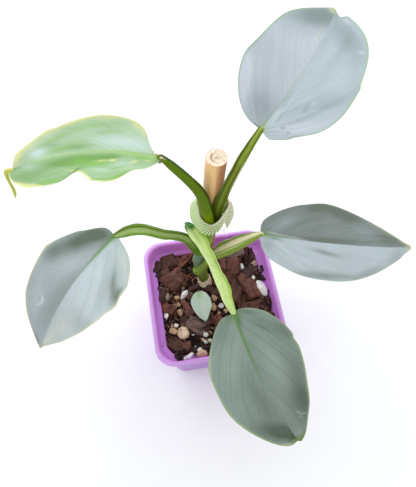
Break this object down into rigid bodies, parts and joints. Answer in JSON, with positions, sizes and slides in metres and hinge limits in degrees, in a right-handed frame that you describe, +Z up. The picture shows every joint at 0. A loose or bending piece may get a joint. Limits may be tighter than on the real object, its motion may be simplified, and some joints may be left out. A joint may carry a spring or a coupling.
{
  "type": "potted philodendron plant",
  "caption": "Young climbing philodendron with silvery spade-shaped leaves on arching stalks, taped to a bamboo stake in a small square nursery pot of bark mix.",
  "frame": {"origin": "middle of the pot's underside, where it stands", "axes": "+Z up, +Y to the back of the plant, +X to its right, square to the pot's sides"},
  "size_m": [0.2236, 0.1922, 0.2012],
  "materials": {
    "pot_plastic": "satin",
    "potting_mix": "matte",
    "bamboo": "matte",
    "stem_green": "satin",
    "dry_sheath": "matte",
    "stalk_green": "satin",
    "leaf_silver": "satin",
    "leaf_young": "satin",
    "leaf_small": "satin",
    "tie_tape": "matte"
  },
  "bodies": {
    "root": {"pot": "pot_plastic", "potting_mix": "potting_mix", "bamboo_stake": "bamboo", "stem": "stem_green", "base_sheath": "dry_sheath", "tie_tape": "tie_tape", "stalk_upper_left": "stalk_green", "stalk_upper_right": "stalk_green", "stalk_right": "stalk_green", "stalk_left": "stalk_green", "stalk_front": "stalk_green", "leaf_upper_right": "leaf_silver", "leaf_right": "leaf_silver", "leaf_front": "leaf_silver", "leaf_left": "leaf_silver", "leaf_upper_left": "leaf_young", "small_leaf": "leaf_small"}
  },
  "joints": []
}
